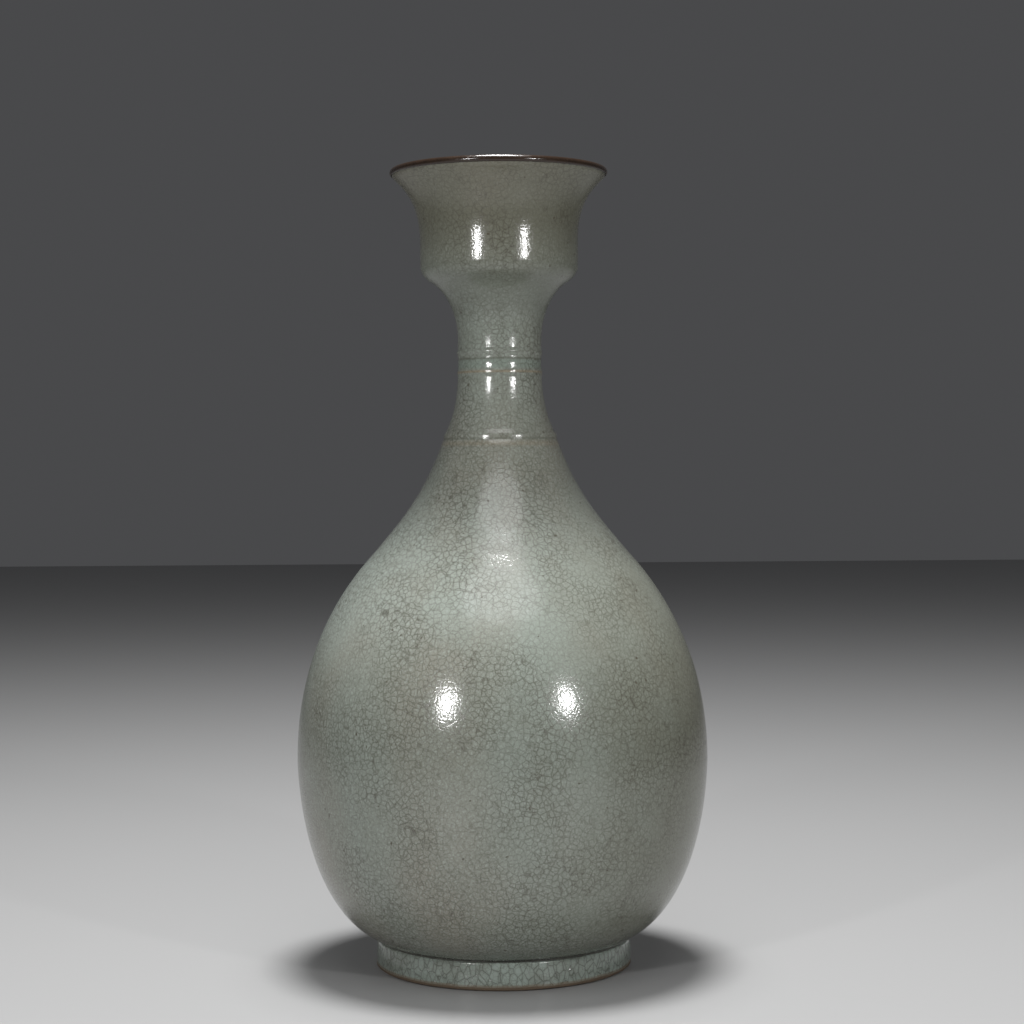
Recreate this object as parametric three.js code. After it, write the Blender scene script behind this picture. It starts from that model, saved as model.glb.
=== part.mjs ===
// A dish-mouthed stoneware vase. It is thrown on the wheel in sections, which are trimmed leather-hard and
// luted into one hollow form: a foot ring, a bowl, a shoulder dome, a neck in two lengths and a dish mouth.
// Each joint is a thin ring of slip between two trimmed edges. The lip carries a band of brown dressing.
// Sizes are in millimetres, +Z is up, and the origin is the centre of the foot ring's resting face.
import * as THREE from "three";

// Facets round the axis
const FACETS = 48;

// Luting: the slip left in a joint, how far it is squeezed into the hollow, and its recess at the foot
const SLIP = 0.8;
const SLIP_SQUEEZE = 0.7;
const SLIP_RECESS = 0.5;

// Foot ring
const FOOT_HEIGHT = 12;
const FOOT_RADIUS = 56.2;
const FOOT_TAPER = 0.6;
const FOOT_WIDTH = 7.4;
const FOOT_BEVEL = 1.5;
const FOOT_BEVEL_HEIGHT = 2.4;
const FOOT_INNER_TAPER = 1.6;

// Bowl, the lower half of the body
const BASE_OVERHANG = 0.2;
const BASE_ANGLE = 24;
const BASE_REACH = 35;
const BASE_WALL = 7.2;
const FLOOR = 6.4;
const BOWL_HEIGHT = 78.7;
const BELLY_RADIUS = 90.3;
const BELLY_LOWER_REACH = 9.4;
const BELLY_WALL = 5.2;

// Shoulder dome, the upper half of the body
const BELLY_UPPER_REACH = 56.8;
const DOME_HEIGHT = 92.5;
const TURN_RADIUS = 54;
const TURN_ANGLE = 128.5;
const TURN_LOWER_REACH = 8;
const TURN_UPPER_REACH = 12.9;
const TURN_WALL = 4.8;
const THROAT_HEIGHT = 46.5;
const THROAT_RADIUS = 25.5;
const THROAT_ANGLE = 110;
const THROAT_REACH = 28;
const THROAT_WALL = 4.4;

// Neck, in two lengths that meet between two raised strings
const LOWER_NECK_HEIGHT = 34.5;
const THROAT_NECK_REACH = 10;
const NECK_REACH = 20;
const NECK_RADIUS = 18.45;
const NECK_WALL = 4;
const NECK_STRAIGHT = 9.6;
const FLARE_HEIGHT = 26;
const FLARE_REACH = 12.8;
const LEDGE_RADIUS = 30;
const LEDGE_ANGLE = 32;
const LEDGE_NECK_REACH = 6.6;
const LEDGE_WALL = 4;

// Raised strings, turned in relief on the neck
const STRING_RELIEF = 0.45;
const STRING_WIDTH = 3.4;
const COLLAR_STRING_RISE = 3;
const NECK_STRING_OFFSET = 4.6;

// Dish mouth
const LEDGE_REACH = 3.2;
const LEDGE_HEIGHT = 6.9;
const CORNER_REACH = 3.4;
const DISH_RADIUS = 34.75;
const DISH_WALL = 3.6;
const DISH_STRAIGHT = 10.5;
const LIP_FLARE_HEIGHT = 29.25;
const LIP_FLARE_REACH = 17;
const LIP_RADIUS = 47.4;
const LIP_ANGLE = 44;
const LIP_REACH = 9;
const LIP_ROUND = 1.6;

// Brown dressing on the lip
const DRESSING = 0.6;

// How finely the curves are stepped outside, and the share of those steps that the inside has
const BOWL_STEPS = 9;
const DOME_STEPS = 8;
const HOLLOW_STEPS = 4;
const NECK_STEPS = 6;
const FLARE_STEPS = 6;
const LEDGE_STEPS = 3;
const LIP_STEPS = 6;
const LIP_ROUND_STEPS = 5;
const INSIDE_SHARE = 0.8;

const glazed = new THREE.MeshStandardMaterial({ color: 0x9aa398, roughness: 0.12, metalness: 0 });
const slipped = new THREE.MeshStandardMaterial({ color: 0x8d7660, roughness: 0.85, metalness: 0 });
const dressed = new THREE.MeshStandardMaterial({ color: 0x4a3228, roughness: 0.18, metalness: 0 });

const at = (radius, height) => new THREE.Vector2(radius, height);

// The direction of a wall, in degrees above the line that points straight out from the axis
function heading(degrees) {
  const angle = THREE.MathUtils.degToRad(degrees);
  return at(Math.cos(angle), Math.sin(angle));
}

// The normal that points into the wall, on the left of a wall that is followed upwards
const inward = (direction) => at(-direction.y, direction.x);

// A point of the outer surface with the wall's direction and thickness there
function station(radius, height, angle, wall) {
  return { outer: at(radius, height), direction: heading(angle), wall };
}

const innerOf = ({ outer, direction, wall }) => outer.clone().addScaledVector(inward(direction), wall);

// A station moved along its own wall, as the two edges of a luted joint are moved apart by the slip
function shifted(place, distance) {
  return { ...place, outer: place.outer.clone().addScaledVector(place.direction, distance) };
}

const below = (seam) => shifted(seam, -SLIP / 2);
const above = (seam) => shifted(seam, SLIP / 2);

// The curve that leaves one station and arrives at the next along their walls
function wallCurve(from, fromReach, to, toReach) {
  return new THREE.CubicBezierCurve(
    from.outer,
    from.outer.clone().addScaledVector(from.direction, fromReach),
    to.outer.clone().addScaledVector(to.direction, -toReach),
    to.outer,
  );
}

// Points of a wall's inner surface, going up, offset from the outer curve by the wall's thickness
function insideOf(curve, from, to, outerSteps) {
  const steps = Math.ceil(INSIDE_SHARE * outerSteps);
  const points = curve.getPoints(steps).map((point, i) => {
    const share = i / steps;
    const wall = THREE.MathUtils.lerp(from.wall, to.wall, share);
    return point.clone().addScaledVector(inward(curve.getTangent(share)), wall);
  });
  points[0] = innerOf(from);
  points[steps] = innerOf(to);
  return points;
}

// Stretches of a profile set end to end, where each starts at the point that ends the one before
const chained = (...stretches) => stretches.flatMap((points, i) => (i ? points.slice(1) : points));

// A raised string round a wall: the wall's points inside its width give way to a low rounded bead
function withString(points, height) {
  const start = height - STRING_WIDTH / 2;
  const end = height + STRING_WIDTH / 2;
  const radiusAt = (z) => {
    const next = points.findIndex((point) => point.y >= z);
    const [a, b] = [points[next - 1], points[next]];
    return THREE.MathUtils.mapLinear(z, a.y, b.y, a.x, b.x);
  };
  const bead = [0, 0.25, 0.5, 0.75, 1].map((share) => {
    const z = THREE.MathUtils.lerp(start, end, share);
    return at(radiusAt(z) + STRING_RELIEF * Math.sin(Math.PI * share), z);
  });
  return [...points.filter((p) => p.y < start), ...bead, ...points.filter((p) => p.y > end)];
}

// Turns a closed profile, listed bottom, outside, top, inside, round the axis
function turned(name, profile, material) {
  const onAxis = profile[0].x === 0;
  const closed = onAxis ? profile : [...profile, profile[0]];
  const mesh = new THREE.Mesh(new THREE.LatheGeometry(closed, FACETS), material);
  mesh.name = name;
  return mesh;
}

// A luted joint: slip from edge to edge of the wall, with a soft bead squeezed into the hollow
function lutedJoint(name, seam) {
  const [low, high] = [below(seam), above(seam)];
  const bead = innerOf(seam).addScaledVector(inward(seam.direction), SLIP_SQUEEZE);
  return turned(name, [low.outer, high.outer, innerOf(high), bead, innerOf(low)], slipped);
}

// A section between two stretches of wall, outside going up and inside coming down
const ringProfile = (outside, inside) => [...outside, ...inside.slice().reverse()];

// Stations from the foot to the lip. Each height is measured from the station below.
const footTopRadius = FOOT_RADIUS - FOOT_TAPER;
const footInnerRadius = FOOT_RADIUS - FOOT_WIDTH;
const footInnerTopRadius = footInnerRadius - FOOT_INNER_TAPER;
const baseHeight = FOOT_HEIGHT + SLIP;
const base = station(footTopRadius + BASE_OVERHANG, baseHeight, BASE_ANGLE, BASE_WALL);
const belly = station(BELLY_RADIUS, baseHeight + BOWL_HEIGHT, 90, BELLY_WALL);
const turn = station(TURN_RADIUS, belly.outer.y + DOME_HEIGHT, TURN_ANGLE, TURN_WALL);
const throat = station(THROAT_RADIUS, turn.outer.y + THROAT_HEIGHT, THROAT_ANGLE, THROAT_WALL);
const waist = station(NECK_RADIUS, throat.outer.y + LOWER_NECK_HEIGHT, 90, NECK_WALL);
const flareStart = station(NECK_RADIUS, waist.outer.y + NECK_STRAIGHT, 90, NECK_WALL);
const ledge = station(LEDGE_RADIUS, flareStart.outer.y + FLARE_HEIGHT, LEDGE_ANGLE, LEDGE_WALL);
const corner = station(DISH_RADIUS, ledge.outer.y + LEDGE_HEIGHT, 90, DISH_WALL);
const dishTop = station(DISH_RADIUS, corner.outer.y + DISH_STRAIGHT, 90, DISH_WALL);
const lip = station(LIP_RADIUS, dishTop.outer.y + LIP_FLARE_HEIGHT, LIP_ANGLE, 2 * LIP_ROUND);
const lipCentre = lip.outer.clone().addScaledVector(inward(lip.direction), LIP_ROUND);

// Points round the lip, from its underside over the edge to the inside, at a distance from the lip's centre
function lipRound(radius) {
  return Array.from({ length: LIP_ROUND_STEPS + 1 }, (_, i) => {
    const angle = THREE.MathUtils.lerp(LIP_ANGLE - 90, LIP_ANGLE + 90, i / LIP_ROUND_STEPS);
    return lipCentre.clone().addScaledVector(heading(angle), radius);
  });
}

// The foot ring is turned, bevelled outside where it is left bare, and narrows inside towards the top
function footRing() {
  return turned(
    "foot_ring",
    [
      at(footInnerRadius + FOOT_BEVEL / 2, 0),
      at(FOOT_RADIUS - FOOT_BEVEL, 0),
      at(FOOT_RADIUS, FOOT_BEVEL_HEIGHT),
      at(FOOT_RADIUS, FOOT_HEIGHT / 2),
      at(footTopRadius, FOOT_HEIGHT),
      at(footInnerTopRadius, FOOT_HEIGHT),
      at(footInnerRadius, FOOT_BEVEL_HEIGHT),
    ],
    glazed,
  );
}

// The slip between the foot ring and the flat underside of the bowl
function footJoint() {
  const outerRadius = footTopRadius - SLIP_RECESS;
  const innerRadius = footInnerTopRadius + SLIP_RECESS;
  return turned(
    "foot_luting",
    [
      at(innerRadius, FOOT_HEIGHT),
      at(outerRadius, FOOT_HEIGHT),
      at(outerRadius, baseHeight),
      at(innerRadius, baseHeight),
    ],
    slipped,
  );
}

function lowerBody() {
  const rim = below(belly);
  const curve = wallCurve(base, BASE_REACH, rim, BELLY_LOWER_REACH);
  const outside = curve.getPoints(BOWL_STEPS);
  const inside = insideOf(curve, base, rim, BOWL_STEPS);
  const floorTop = at(0, baseHeight + FLOOR);
  return turned("lower_body", [at(0, baseHeight), ...ringProfile(outside, inside), floorTop], glazed);
}

function upperBody() {
  const [low, high] = [above(belly), below(throat)];
  const dome = wallCurve(low, BELLY_UPPER_REACH, turn, TURN_LOWER_REACH);
  const hollow = wallCurve(turn, TURN_UPPER_REACH, high, THROAT_REACH);
  const outside = chained(dome.getPoints(DOME_STEPS), hollow.getPoints(HOLLOW_STEPS));
  const inside = chained(
    insideOf(dome, low, turn, DOME_STEPS),
    insideOf(hollow, turn, high, HOLLOW_STEPS),
  );
  return turned("upper_body", ringProfile(outside, inside), glazed);
}

function lowerNeck() {
  const [low, high] = [above(throat), below(waist)];
  const curve = wallCurve(low, THROAT_NECK_REACH, high, NECK_REACH);
  const plain = curve.getPoints(NECK_STEPS);
  const collared = withString(plain, throat.outer.y + COLLAR_STRING_RISE);
  const outside = withString(collared, waist.outer.y - NECK_STRING_OFFSET);
  const inside = insideOf(curve, low, high, NECK_STEPS);
  return turned("lower_neck", ringProfile(outside, inside), glazed);
}

function upperNeck() {
  const [low, high] = [above(waist), below(ledge)];
  const curve = wallCurve(flareStart, FLARE_REACH, high, LEDGE_NECK_REACH);
  const plain = [low.outer, ...curve.getPoints(FLARE_STEPS)];
  const outside = withString(plain, waist.outer.y + NECK_STRING_OFFSET);
  const inside = [innerOf(low), ...insideOf(curve, flareStart, high, FLARE_STEPS)];
  return turned("upper_neck", ringProfile(outside, inside), glazed);
}

function dishMouth() {
  const low = above(ledge);
  const foot = wallCurve(low, LEDGE_REACH, corner, CORNER_REACH);
  const flare = wallCurve(dishTop, LIP_FLARE_REACH, lip, LIP_REACH);
  const outside = [...foot.getPoints(LEDGE_STEPS), ...flare.getPoints(LIP_STEPS)];
  const inside = [
    ...insideOf(foot, low, corner, LEDGE_STEPS),
    ...insideOf(flare, dishTop, lip, LIP_STEPS),
  ];
  return turned(
    "dish_mouth",
    [...outside, ...lipRound(LIP_ROUND - DRESSING), ...inside.slice().reverse()],
    glazed,
  );
}

// The dressing wraps the lip in an even coat, flush with the walls on both sides of it
function lipDressing() {
  const under = lipRound(LIP_ROUND - DRESSING).reverse();
  return turned("lip_dressing", [...lipRound(LIP_ROUND), ...under], dressed);
}

const vase = new THREE.Group();
vase.rotation.x = Math.PI / 2;
vase.add(
  footRing(),
  footJoint(),
  lowerBody(),
  lutedJoint("belly_luting", belly),
  upperBody(),
  lutedJoint("throat_luting", throat),
  lowerNeck(),
  lutedJoint("neck_luting", waist),
  upperNeck(),
  lutedJoint("mouth_luting", ledge),
  dishMouth(),
  lipDressing(),
);

export default vase;
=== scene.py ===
import math

import bmesh
import bpy
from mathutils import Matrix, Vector


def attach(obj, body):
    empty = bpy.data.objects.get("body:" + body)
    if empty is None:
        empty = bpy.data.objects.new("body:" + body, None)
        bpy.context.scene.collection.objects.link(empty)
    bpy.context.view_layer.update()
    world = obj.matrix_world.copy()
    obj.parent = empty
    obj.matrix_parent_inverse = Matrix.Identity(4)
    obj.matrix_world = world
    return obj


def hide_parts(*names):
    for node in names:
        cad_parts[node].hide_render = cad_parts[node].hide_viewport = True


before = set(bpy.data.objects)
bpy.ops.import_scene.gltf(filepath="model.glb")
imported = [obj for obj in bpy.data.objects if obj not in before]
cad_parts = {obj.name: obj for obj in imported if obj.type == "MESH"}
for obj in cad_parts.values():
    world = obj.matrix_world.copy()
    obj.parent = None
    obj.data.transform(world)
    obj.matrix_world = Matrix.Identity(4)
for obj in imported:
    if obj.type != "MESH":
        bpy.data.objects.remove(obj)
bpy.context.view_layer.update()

# Foot ring. The real one is turned from the same stoneware as the body, when it is leather-hard, and luted
# under the base. Its wall is glazed like the body, and its resting edge is wiped bare, so that it doesn't
# stick to the kiln shelf, and fires brown where the glaze stops.
FOOT_RADIUS = 0.0562
FOOT_TOP_RADIUS = 0.0556
FOOT_HEIGHT = 0.012
FOOT_WIDTH = 0.0074
FOOT_INNER_TAPER = 0.0016
FOOT_FACETS = 240
HEEL_ROUND = 0.0024
HEEL_CENTRE_INSET = 0.0018
HEEL_START_INSET = 0.0015
HEEL_TOP = 0.0026
INNER_CHAMFER = 0.0008
TOP_ROUND = 0.0008
TOP_FLAT_INSET = 0.0009
GLAZE_LINE = 0.0018
GLAZE_LINE_WANDER = 0.0013

FOOT_THIN_GLAZE = (0.195, 0.22, 0.19, 1)
FOOT_THICK_GLAZE = (0.27, 0.315, 0.28, 1)
FOOT_STAIN = (0.1, 0.1, 0.078, 1)
FOOT_FINE_CRACK = (0.07, 0.065, 0.05, 1)
FOOT_CRACK = (0.035, 0.03, 0.022, 1)
BURNT_GLAZE = (0.16, 0.105, 0.06, 1)
FIRED_CLAY = (0.16, 0.115, 0.075, 1)
DARK_CLAY = (0.09, 0.068, 0.048, 1)


class Shade:
    """One output of a node in a material, with arithmetic that adds the nodes it needs."""

    def __init__(self, tree, socket):
        self.tree = tree
        self.socket = socket

    def node(self, kind, settings, sockets, output=0):
        made = self.tree.nodes.new(kind)
        for key, value in settings.items():
            setattr(made, key, value)
        for key, value in sockets.items():
            if isinstance(value, Shade):
                self.tree.links.new(value.socket, made.inputs[key])
            else:
                made.inputs[key].default_value = value
        return Shade(self.tree, made.outputs[output])

    def maths(self, operation, first, second):
        return self.node("ShaderNodeMath", {"operation": operation}, {0: first, 1: second})

    def __add__(self, other):
        return self.maths("ADD", self, other)

    __radd__ = __add__

    def __sub__(self, other):
        return self.maths("SUBTRACT", self, other)

    def __rsub__(self, other):
        return self.maths("SUBTRACT", other, self)

    def __mul__(self, other):
        return self.maths("MULTIPLY", self, other)

    __rmul__ = __mul__

    def axis(self, letter):
        """One coordinate of this position."""
        return self.node("ShaderNodeSeparateXYZ", {}, {0: self}, letter)

    def step(self, low, high):
        """0 below low and 1 above high, with a soft change between them."""
        sockets = {"Value": self, "From Min": low, "From Max": high}
        return self.node("ShaderNodeMapRange", {"interpolation_type": "SMOOTHSTEP"}, sockets)

    def band(self, low, high, soft):
        """1 between low and high, and 0 outside, with soft edges."""
        return self.step(low - soft, low + soft) * (1 - self.step(high - soft, high + soft))

    def stretched(self, stretch):
        """This position, stretched or squashed along each axis."""
        return self.node("ShaderNodeVectorMath", {"operation": "MULTIPLY"}, {0: self, 1: stretch})

    def grain(self, size, detail=2.0, roughness=0.5, stretch=(1, 1, 1)):
        """Noise on this position, whose blots are about size metres across."""
        place = self.stretched(stretch)
        sockets = {"Vector": place, "Scale": 1 / size, "Detail": detail, "Roughness": roughness}
        return self.node("ShaderNodeTexNoise", {}, sockets, "Fac")

    def tint(self, under, over):
        """The colour under, with over laid on it as far as this mask says."""
        return self.node("ShaderNodeMix", {"data_type": "RGBA"}, {0: self, 6: under, 7: over}, 2)


def finish_for(name):
    """A new material with its shader and the place on the object in metres."""
    material = bpy.data.materials.new(name)
    material.use_nodes = True
    tree = material.node_tree
    shader = next(n for n in tree.nodes if n.type == "BSDF_PRINCIPLED")
    place = Shade(tree, None).node("ShaderNodeTexCoord", {}, {}, "Object")
    return material, shader, place


def paint(shader, socket, value):
    """Feeds one socket of the shader."""
    value.tree.links.new(value.socket, shader.inputs[socket])


def layered(tone, layers):
    """The tone, with the colour of each (mask, colour) laid over what is under it."""
    for mask, colour in layers:
        tone = mask.tint(tone, colour)
    return tone


def relief(heights, depth):
    """A bump whose full height is depth metres."""
    sockets = {"Height": heights, "Distance": depth, "Strength": 1.0}
    return heights.node("ShaderNodeBump", {}, sockets)


def crazing(place, cell, line, stretch=(1, 1, 1), wander=0.35):
    """Masks of the cracks in a glaze, for cells about cell metres across, and of the stain beside them."""
    drift_sockets = {"Vector": place, "Scale": 0.4 / cell, "Detail": 1.0}
    drift = place.node("ShaderNodeTexNoise", {}, drift_sockets, "Color")
    bend_sockets = {0: drift, 1: (wander * cell,) * 3, 2: place}
    bent = place.node("ShaderNodeVectorMath", {"operation": "MULTIPLY_ADD"}, bend_sockets)
    cell_sockets = {"Vector": bent.stretched(stretch), "Scale": 1 / cell}
    edge = place.node("ShaderNodeTexVoronoi", {"feature": "DISTANCE_TO_EDGE"}, cell_sockets, "Distance")
    cracks = 1 - edge.step(0.25 * line / cell, 1.25 * line / cell)
    stain = 1 - edge.step(0.0, 0.22)
    return cracks, stain


def lathe_tree():
    """Nodes that turn a profile in the XZ plane round the Z axis, and let it waver as hand work does."""
    path_radius = 0.1
    ring_squash = (12.0, 12.0, 150.0)
    tree = bpy.data.node_groups.new("turned_on_the_wheel", "GeometryNodeTree")
    tree.is_modifier = True
    face = tree.interface
    face.new_socket("Profile", in_out="INPUT", socket_type="NodeSocketGeometry")
    face.new_socket("Facets", in_out="INPUT", socket_type="NodeSocketInt")
    face.new_socket("Waver", in_out="INPUT", socket_type="NodeSocketFloat")
    face.new_socket("Waver Size", in_out="INPUT", socket_type="NodeSocketFloat")
    face.new_socket("Finger Rings", in_out="INPUT", socket_type="NodeSocketFloat")
    face.new_socket("Finish", in_out="INPUT", socket_type="NodeSocketMaterial")
    face.new_socket("Form", in_out="OUTPUT", socket_type="NodeSocketGeometry")

    def outputs(kind, settings, sockets):
        made = tree.nodes.new(kind)
        for key, value in settings.items():
            setattr(made, key, value)
        for key, value in sockets.items():
            if isinstance(value, bpy.types.NodeSocket):
                tree.links.new(value, made.inputs[key])
            else:
                made.inputs[key].default_value = value
        return made.outputs

    def result(kind, **sockets):
        return outputs(kind, {}, {key.replace("_", " "): value for key, value in sockets.items()})[0]

    def maths(operation, first, second):
        return outputs("ShaderNodeMath", {"operation": operation}, {0: first, 1: second})[0]

    given = tree.nodes.new("NodeGroupInput").outputs
    outline = result("GeometryNodeMeshToCurve", Mesh=given["Profile"])
    # The path is a circle of a fixed radius, so the profile is laid flat and moved in by that radius
    spot = result("GeometryNodeInputPosition")
    parts = outputs("ShaderNodeSeparateXYZ", {}, {0: spot})
    across = maths("SUBTRACT", parts["X"], path_radius)
    down = maths("MULTIPLY", parts["Z"], -1.0)
    flat = result("ShaderNodeCombineXYZ", X=across, Y=down)
    template = result("GeometryNodeSetPosition", Geometry=outline, Position=flat)
    circle_sockets = {"Resolution": given["Facets"], "Radius": path_radius}
    path = outputs("GeometryNodeCurvePrimitiveCircle", {"mode": "RADIUS"}, circle_sockets)[0]
    swept = result("GeometryNodeCurveToMesh", Curve=path, Profile_Curve=template)
    joined = result("GeometryNodeMergeByDistance", Geometry=swept, Distance=1e-6)

    size = maths("DIVIDE", 1.0, given["Waver Size"])
    sway = result("ShaderNodeTexNoise", Vector=spot, Scale=size, Detail=1.0)
    squashed = outputs("ShaderNodeVectorMath", {"operation": "MULTIPLY"}, {0: spot, 1: ring_squash})[0]
    rings = result("ShaderNodeTexNoise", Vector=squashed, Scale=1.0, Detail=1.0)
    swayed = maths("MULTIPLY", maths("SUBTRACT", sway, 0.5), given["Waver"])
    ringed = maths("MULTIPLY", maths("SUBTRACT", rings, 0.5), given["Finger Rings"])
    push_sockets = {0: result("GeometryNodeInputNormal"), "Scale": maths("ADD", swayed, ringed)}
    push = outputs("ShaderNodeVectorMath", {"operation": "SCALE"}, push_sockets)[0]
    worked = result("GeometryNodeSetPosition", Geometry=joined, Offset=push)
    smooth = result("GeometryNodeSetShadeSmooth", Geometry=worked)
    real = result("GeometryNodeRealizeInstances", Geometry=smooth)
    done = result("GeometryNodeSetMaterial", Geometry=real, Material=given["Finish"])
    tree.links.new(done, tree.nodes.new("NodeGroupOutput").inputs["Form"])
    return tree


wheel_work = lathe_tree()


def turned(name, profile, closed, finish, facets, waver=0.0, waver_size=0.05, finger_rings=0.0):
    """A piece turned from a profile of (radius, height) points, as a plain mesh with outward faces."""
    inputs = {
        "Facets": facets,
        "Waver": waver,
        "Waver Size": waver_size,
        "Finger Rings": finger_rings,
        "Finish": finish,
    }
    edges = [(i, i + 1) for i in range(len(profile) - 1)]
    if closed:
        edges.append((len(profile) - 1, 0))
    outline = bpy.data.meshes.new(name + "_profile")
    outline.from_pydata([(radius, 0, height) for radius, height in profile], edges, [])
    piece = bpy.data.objects.new(name, outline)
    bpy.context.scene.collection.objects.link(piece)
    wheel = piece.modifiers.new("wheel", "NODES")
    wheel.node_group = wheel_work
    for socket in wheel_work.interface.items_tree:
        if socket.name in inputs:
            wheel[socket.identifier] = inputs[socket.name]
    depsgraph = bpy.context.evaluated_depsgraph_get()
    form = bpy.data.meshes.new_from_object(piece.evaluated_get(depsgraph), depsgraph=depsgraph)
    piece.modifiers.remove(wheel)
    shell = bmesh.new()
    shell.from_mesh(form)
    bmesh.ops.recalc_face_normals(shell, faces=shell.faces)
    shell.to_mesh(form)
    shell.free()
    form.name = name
    piece.data = form
    return piece


def arc(centre, radius, start, end, steps):
    """Points on an arc, with angles in degrees above the line that points out from the axis."""
    angles = [math.radians(start + (end - start) * i / steps) for i in range(steps + 1)]
    return [(centre[0] + radius * math.cos(a), centre[1] + radius * math.sin(a)) for a in angles]


def even(start, end, steps):
    """Points on a straight line, without its last point."""
    return [
        (start[0] + (end[0] - start[0]) * i / steps, start[1] + (end[1] - start[1]) * i / steps)
        for i in range(steps)
    ]


foot_glaze, foot_shader, foot_place = finish_for("foot_glaze")
above_floor = foot_place.axis("Z") + (foot_place.grain(0.009, 3.0) - 0.5) * GLAZE_LINE_WANDER
foot_bare = 1 - above_floor.step(GLAZE_LINE - 0.0003, GLAZE_LINE + 0.0003)
foot_burn = above_floor.band(GLAZE_LINE - 0.0004, GLAZE_LINE + 0.0008, 0.0004)
foot_cracks, foot_stain = crazing(foot_place, 0.0027, 0.00009, stretch=(1, 1, 0.6))
foot_fine_cracks, _ = crazing(foot_place, 0.0019, 0.00008)
foot_patches = foot_place.grain(0.016, 3.0, 0.6).step(0.3, 0.7)
foot_tone = layered(
    foot_patches.tint(FOOT_THIN_GLAZE, FOOT_THICK_GLAZE),
    [
        (foot_stain * 0.3, FOOT_STAIN),
        (foot_fine_cracks * 0.4, FOOT_FINE_CRACK),
        (foot_cracks * 0.42, FOOT_CRACK),
        (foot_burn * 0.5, BURNT_GLAZE),
    ],
)
foot_clay = foot_place.grain(0.0012, 4.0, 0.7).tint(FIRED_CLAY, DARK_CLAY)
paint(foot_shader, "Base Color", foot_bare.tint(foot_tone, foot_clay))
paint(foot_shader, "Roughness", 0.14 + foot_bare * 0.6 + foot_place.grain(0.004) * 0.06)
foot_pitting = foot_place.grain(0.0011, 3.0, 0.6) * (0.25 + foot_bare * 0.75) - foot_cracks * 0.5
paint(foot_shader, "Normal", relief(foot_pitting, 0.00012))

foot_inner = FOOT_RADIUS - FOOT_WIDTH
foot_inner_top = (foot_inner - FOOT_INNER_TAPER, FOOT_HEIGHT)
foot_waist = (FOOT_RADIUS, FOOT_HEIGHT / 2)
foot_profile = (
    even((foot_inner + INNER_CHAMFER, 0), (FOOT_RADIUS - HEEL_START_INSET, 0), 6)
    + arc((FOOT_RADIUS - HEEL_CENTRE_INSET, HEEL_ROUND), HEEL_ROUND, -84, -40, 4)
    + even((FOOT_RADIUS, HEEL_TOP), foot_waist, 4)
    + even(foot_waist, (FOOT_TOP_RADIUS, FOOT_HEIGHT - TOP_ROUND), 6)
    + arc((FOOT_TOP_RADIUS - TOP_ROUND, FOOT_HEIGHT - TOP_ROUND), TOP_ROUND, 10, 85, 4)
    + even((FOOT_TOP_RADIUS - TOP_FLAT_INSET, FOOT_HEIGHT), foot_inner_top, 5)
    + even(foot_inner_top, (foot_inner, HEEL_ROUND), 7)
    + even((foot_inner, HEEL_ROUND), (foot_inner + INNER_CHAMFER, 0), 3)
)
foot = turned(
    "foot_ring_glazed", foot_profile, True, foot_glaze, FOOT_FACETS, waver=0.00018, waver_size=0.02
)
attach(foot, "root")
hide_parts("foot_ring")

# Slip in the joint over the foot. The base is luted to the foot ring with slip, and the groove there is
# painted near black as painted shade. The solid has the right shape, so it stays and gets its own finish.
GROOVE_DEEP_SHADE = (0.03, 0.03, 0.024, 1)
GROOVE_SOFT_SHADE = (0.055, 0.055, 0.042, 1)

groove_shade, groove_shader, groove_place = finish_for("groove_shade")
# painted shade: the groove is near black for the shadow in the recess between body and foot
paint(groove_shader, "Base Color", groove_place.grain(0.004).tint(GROOVE_DEEP_SHADE, GROOVE_SOFT_SHADE))
groove_shader.inputs["Roughness"].default_value = 0.35
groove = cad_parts["foot_luting"]
groove.data.materials.clear()
groove.data.materials.append(groove_shade)

# Body, neck and mouth. The real wall is thrown in sections, luted and then glazed all over, inside and out,
# so no joint shows. The glaze is a grey-green celadon, crackled by its shrinking more than the clay. It
# pools green between the two strings of the neck, and is thin and brown on the edge under them.
BASE_HEIGHT = 0.0128
LIP_ANGLE = 44
LIP_ROUND = 0.0016
DRESSING = 0.0006
INNER_FLOOR_DIP = 0.0004
BODY_FACETS = 208

# Turned strings: height, how far out or in, and half of the width
STRINGS = [
    (0.2336, 0.00046, 0.0021),
    (0.2312, -0.00022, 0.0008),
    (0.2605, 0.00034, 0.0018),
    (0.2583, -0.00012, 0.0008),
    (0.2646, -0.00012, 0.0022),
    (0.2695, 0.00046, 0.0018),
]

# Bands by height, of glaze and of painted light and shade: lowest, highest and how soft the change is
LIT_SHOULDER = (0.148, 0.203, 0.02)
POOLED_ON_NECK = (0.2622, 0.2660, 0.0006)
DARK_UNDER_NECK_STRING = (0.2660, 0.2668, 0.0005)
DARK_UNDER_COLLAR = (0.2312, 0.2320, 0.0005)
THIN_ON_NECK_STRING = (0.2602, 0.2612, 0.0004)
THIN_BELOW_COLLAR = (0.2285, 0.2305, 0.0010)
SHADED_UNDER_LEDGE = (0.2850, 0.3045, 0.006)
BROWNING_START, BROWNING_END = 0.285, 0.33
BASE_SHADE_END = 0.0165

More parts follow.
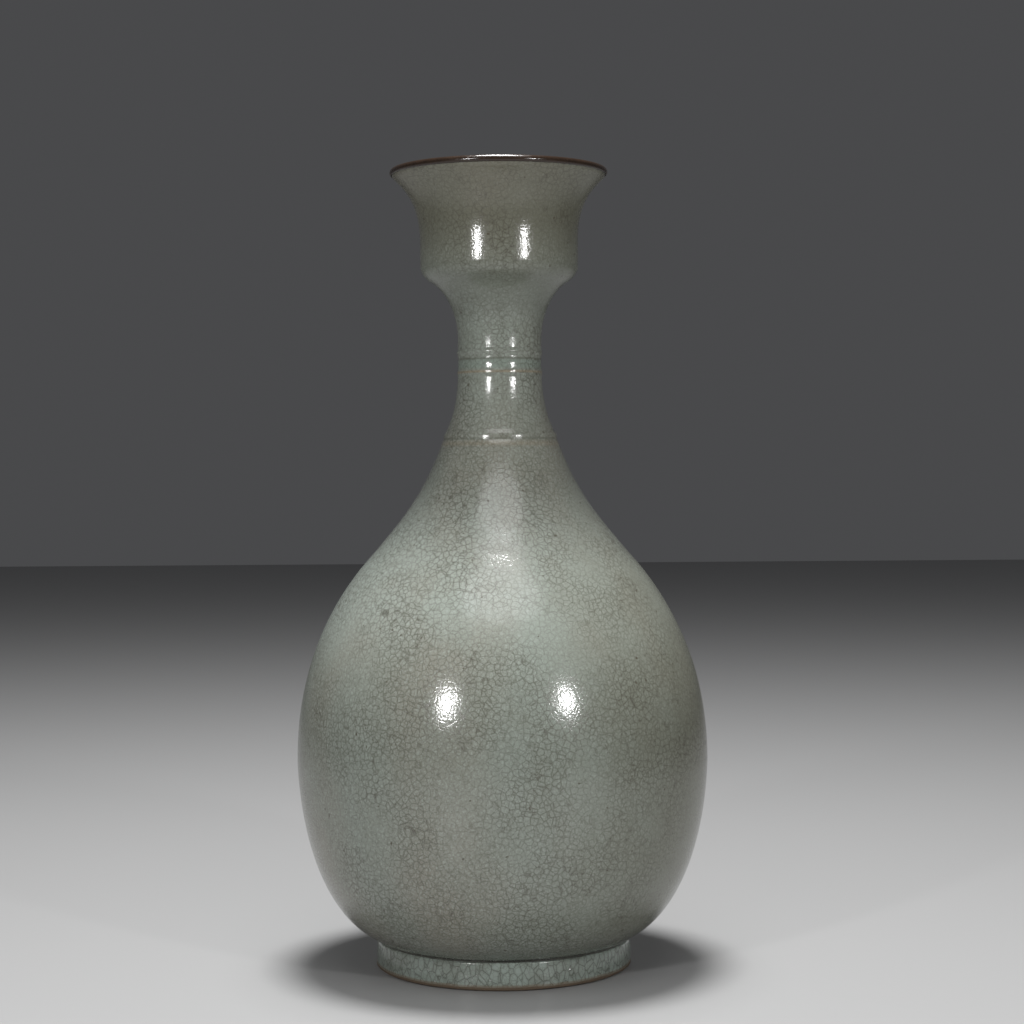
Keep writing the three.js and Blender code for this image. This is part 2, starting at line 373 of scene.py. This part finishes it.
GREY_GLAZE = (0.212, 0.21, 0.175, 1)
GREEN_GLAZE = (0.222, 0.25, 0.218, 1)
CLOUDY_GLAZE = (0.19, 0.205, 0.172, 1)
MILKY_GLAZE = (0.34, 0.375, 0.34, 1)
SHOULDER_LIGHT = (0.34, 0.385, 0.35, 1)
RIGHT_SIDE_SHADE = (0.125, 0.12, 0.084, 1)
MOUTH_GLAZE = (0.1, 0.092, 0.062, 1)
POOLED_GLAZE = (0.18, 0.235, 0.2, 1)
STRING_LINE = (0.06, 0.06, 0.045, 1)
THIN_GLAZE = (0.26, 0.2, 0.13, 1)
STAIN = (0.085, 0.08, 0.06, 1)
FINE_CRACK = (0.07, 0.062, 0.045, 1)
CRACK = (0.045, 0.038, 0.027, 1)
IRON_SPECK = (0.06, 0.045, 0.03, 1)
LEDGE_SHADE = (0.075, 0.082, 0.064, 1)
BASE_SHADE = (0.09, 0.09, 0.07, 1)


def station(radius, height, angle, wall):
    """A place on the outer wall with the way the wall runs there and how thick it is."""
    way = Vector((math.cos(math.radians(angle)), math.sin(math.radians(angle))))
    return Vector((radius, height)), way, wall


def curved(start, start_reach, end, end_reach, steps):
    """Outer and inner points of the wall between two stations, whose slopes hold as far as they reach."""
    (a, way_a, wall_a), (b, way_b, wall_b) = start, end
    c, d = a + way_a * start_reach, b - way_b * end_reach
    outer, inner = [], []
    for i in range(steps + 1):
        t = i / steps
        s = 1 - t
        point = a * s**3 + c * (3 * s * s * t) + d * (3 * s * t * t) + b * t**3
        way = ((c - a) * (s * s) + (d - c) * (2 * s * t) + (b - d) * (t * t)).normalized()
        outer.append(point)
        inner.append(point + Vector((-way.y, way.x)) * (wall_a + (wall_b - wall_a) * t))
    return outer, inner


def strung(point):
    """A point of the outer wall, moved out or in by the strings."""
    out = 0.0
    for height, rise, half in STRINGS:
        gap = abs(point.y - height) / half
        if gap < 1:
            out += rise * math.cos(gap * math.pi / 2) ** 2
    return (point.x + out, point.y)


base = station(0.0558, BASE_HEIGHT, 24, 0.0072)
belly = station(0.0903, 0.0915, 90, 0.0052)
turn = station(0.054, 0.184, 128.5, 0.0048)
throat = station(0.0255, 0.2305, 110, 0.0044)
waist = station(0.01845, 0.265, 90, 0.004)
flare = station(0.01845, 0.2746, 90, 0.004)
ledge = station(0.03, 0.3006, 32, 0.004)
corner = station(0.03475, 0.3075, 90, 0.0036)
dish_top = station(0.03475, 0.318, 90, 0.0036)
lip = station(0.0474, 0.34725, LIP_ANGLE, 0.0032)
lip_centre = lip[0] + Vector((-lip[1].y, lip[1].x)) * LIP_ROUND

stretches = [
    curved(base, 0.035, belly, 0.009, 46),
    curved(belly, 0.0572, turn, 0.008, 44),
    curved(turn, 0.0129, throat, 0.0275, 34),
    curved(throat, 0.0105, waist, 0.0205, 64),
    curved(waist, 0.003, flare, 0.003, 26),
    curved(flare, 0.0128, ledge, 0.0071, 30),
    curved(ledge, 0.0027, corner, 0.0034, 10),
    curved(corner, 0.003, dish_top, 0.003, 4),
    curved(dish_top, 0.017, lip, 0.009, 22),
]
outside, inside = [], []
for outer, inner in stretches:
    outside += [strung(p) for p in (outer[1:] if outside else outer)]
    inside += [tuple(p) for p in (inner[1:] if inside else inner)]
floor_edge = inside[0]
floor_middle = (0, floor_edge[1] - INNER_FLOOR_DIP)
# The inside takes every second point, as little of it is seen
body_profile = (
    even((0, BASE_HEIGHT), outside[0], 14)
    + outside[:-1]
    + arc(lip_centre, LIP_ROUND - DRESSING, LIP_ANGLE - 90, LIP_ANGLE + 90, 12)
    + inside[::-1][1::2]
    + even(floor_edge, floor_middle, 16)[1:]
    + [floor_middle]
)

celadon, celadon_shader, celadon_place = finish_for("celadon_glaze")
height = celadon_place.axis("Z")
broad = celadon_place.grain(0.075, 2.0, 0.5, stretch=(1, 1, 0.55)).step(0.36, 0.62)
cloud = celadon_place.grain(0.02, 4.0, 0.62, stretch=(1, 1, 0.6)).step(0.36, 0.68)
mist = celadon_place.grain(0.0009, 3.0, 0.7)
patchy = celadon_place.grain(0.03, 2.0).step(0.3, 0.65)
specks = celadon_place.grain(0.0021, 0.0).step(0.83, 0.86)
# painted shade: the right side of the vase is darker and browner towards its right edge
right_side_shade = (celadon_place.axis("X") + (celadon_place.grain(0.05) - 0.5) * 0.06).step(0.0, 0.085)
string_lines = height.band(*DARK_UNDER_NECK_STRING) * 0.5 + height.band(*DARK_UNDER_COLLAR) * 0.35
thin_on_edges = height.band(*THIN_ON_NECK_STRING) * 0.6 + height.band(*THIN_BELOW_COLLAR) * 0.3
# painted shade low on the body, where it overhangs the foot
base_shade = 1 - height.step(BASE_HEIGHT, BASE_SHADE_END)
cracks, stain = crazing(celadon_place, 0.0026, 0.0001, wander=0.5)
fine_cracks, fine_stain = crazing(celadon_place, 0.0015, 0.00007, wander=0.6)
celadon_tone = layered(
    broad.tint(GREY_GLAZE, GREEN_GLAZE),
    [
        (cloud * 0.55, CLOUDY_GLAZE),
        (mist.step(0.48, 0.66) * 0.5, MILKY_GLAZE),
        # painted light: the shoulder band is paler where the light from above falls on it
        (height.band(*LIT_SHOULDER) * (0.36 + cloud * 0.24), SHOULDER_LIGHT),
        # painted shade over the right side
        (right_side_shade * 0.6, RIGHT_SIDE_SHADE),
        (height.step(BROWNING_START, BROWNING_END) * 0.7, MOUTH_GLAZE),
        (height.band(*POOLED_ON_NECK) * 0.45, POOLED_GLAZE),
        (string_lines, STRING_LINE),
        (thin_on_edges, THIN_GLAZE),
        (stain * (0.12 + patchy * 0.2), STAIN),
        (fine_cracks * (0.2 + patchy * 0.3), FINE_CRACK),
        (cracks * (0.22 + patchy * 0.36), CRACK),
        (specks * 0.7, IRON_SPECK),
        # painted shade under the ledge of the dish mouth
        (height.band(*SHADED_UNDER_LEDGE) * 0.45, LEDGE_SHADE),
        # painted shade low on the body, over the foot
        (base_shade * 0.5, BASE_SHADE),
    ],
)
paint(celadon_shader, "Base Color", celadon_tone)
paint(celadon_shader, "Roughness", 0.08 + mist * 0.1 + cracks * 0.15)
orange_peel = celadon_place.grain(0.0026, 2.0, 0.5) + mist * 0.8 - stain * 0.3 - fine_stain * 0.15
paint(celadon_shader, "Normal", relief(orange_peel, 0.00004))

body = turned(
    "celadon_body",
    body_profile,
    False,
    celadon,
    BODY_FACETS,
    waver=0.0004,
    waver_size=0.06,
    finger_rings=0.00009,
)
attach(body, "root")
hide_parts("lower_body", "belly_luting", "upper_body", "throat_luting")
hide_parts("lower_neck", "neck_luting", "upper_neck", "mouth_luting", "dish_mouth")

# Lip dressing. An iron-rich slip is brushed round the lip before the glaze firing. It covers the rounded
# edge and fires to a glossy dark brown with lighter streaks.
DARK_BROWN = (0.012, 0.008, 0.006, 1)
LIGHT_BROWN = (0.035, 0.02, 0.012, 1)
DRESSING_PROUD = 0.00004
DRESSING_LAP = 4
DRESSING_UNDERCUT = 2

brown, brown_shader, brown_place = finish_for("brown_dressing")
paint(brown_shader, "Base Color", brown_place.grain(0.005, 4.0, 0.65).tint(DARK_BROWN, LIGHT_BROWN))
paint(brown_shader, "Roughness", 0.12 + brown_place.grain(0.003) * 0.15)
paint(brown_shader, "Normal", relief(brown_place.grain(0.002, 3.0), 0.00008))
lap_start = LIP_ANGLE - 90 - DRESSING_LAP
lap_end = LIP_ANGLE + 90 + DRESSING_LAP
under_start = LIP_ANGLE + 90 - DRESSING_UNDERCUT
under_end = LIP_ANGLE - 90 + DRESSING_UNDERCUT
dressing_profile = arc(lip_centre, LIP_ROUND + DRESSING_PROUD, lap_start, lap_end, 20) + arc(
    lip_centre, LIP_ROUND - DRESSING, under_start, under_end, 12
)
dressing = turned("lip_dressing_band", dressing_profile, True, brown, BODY_FACETS)
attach(dressing, "root")
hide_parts("lip_dressing")

# Floor and light. A plain pale surface, a soft light above the vase, a weak broad one above the camera, and
# a small rounded lamp on each side of it, for the two bright spots on the glaze.
FLOOR_REACH = 4
FLOOR_GREY = (0.32, 0.32, 0.32, 1)
AIR_COLOUR = (0.95, 0.96, 1.0, 1)
AIR_STRENGTH = 0.07

floor_finish, floor_shader, _ = finish_for("pale_floor")
floor_shader.inputs["Base Color"].default_value = FLOOR_GREY
floor_shader.inputs["Roughness"].default_value = 0.45
floor_mesh = bpy.data.meshes.new("floor")
floor_corners = [(x * FLOOR_REACH, y * FLOOR_REACH, 0) for x, y in ((-1, -1), (1, -1), (1, 1), (-1, 1))]
floor_mesh.from_pydata(floor_corners, [], [(0, 1, 2, 3)])
floor_mesh.materials.append(floor_finish)
floor = bpy.data.objects.new("floor", floor_mesh)
bpy.context.scene.collection.objects.link(floor)


def soft_light(name, place, aim_height, width, depth, power):
    """A rounded soft light that faces a point on the vase's axis."""
    light = bpy.data.lights.new(name, "AREA")
    light.shape = "ELLIPSE"
    light.size = width
    light.size_y = depth
    light.energy = power
    lamp = bpy.data.objects.new(name, light)
    lamp.location = place
    aim = Vector((0, 0, aim_height)) - Vector(place)
    lamp.rotation_euler = aim.to_track_quat("-Z", "Y").to_euler()
    bpy.context.scene.collection.objects.link(lamp)


soft_light("left_softbox", (-0.46, -0.79, 0.41), 0.2, 0.062, 0.1, 3.2)
soft_light("right_softbox", (0.54, -0.74, 0.41), 0.2, 0.062, 0.1, 2.7)
soft_light("overhead_softbox", (0, 0.05, 1.45), 0.15, 0.4, 0.4, 33)
soft_light("front_top_softbox", (0, -0.62, 1.5), 0.17, 1.1, 0.8, 6)
room = bpy.context.scene.world or bpy.data.worlds.new("room")
bpy.context.scene.world = room
room.use_nodes = True
air = next(n for n in room.node_tree.nodes if n.type == "BACKGROUND")
air.inputs["Color"].default_value = AIR_COLOUR
air.inputs["Strength"].default_value = AIR_STRENGTH
bpy.context.scene.view_settings.view_transform = "Standard"

# Camera. It stands 951 mm from the axis at 219 mm above the floor, and looks 1.2 degrees down with a
# slight roll, as the ellipses of the lip and the foot and the lean of the axis show.
CAMERA_PLACE = (0.00508, -0.9512, 0.2187)
CAMERA_TILT = 1.17
CAMERA_ROLL = 0.4
LENS = 75.73
SENSOR = 36

lens = bpy.data.cameras.new("camera")
lens.lens = LENS
lens.sensor_width = SENSOR
camera = bpy.data.objects.new("camera", lens)
camera.location = CAMERA_PLACE
camera.rotation_euler = (math.radians(90 - CAMERA_TILT), math.radians(CAMERA_ROLL), 0)
bpy.context.scene.collection.objects.link(camera)
bpy.context.scene.camera = camera
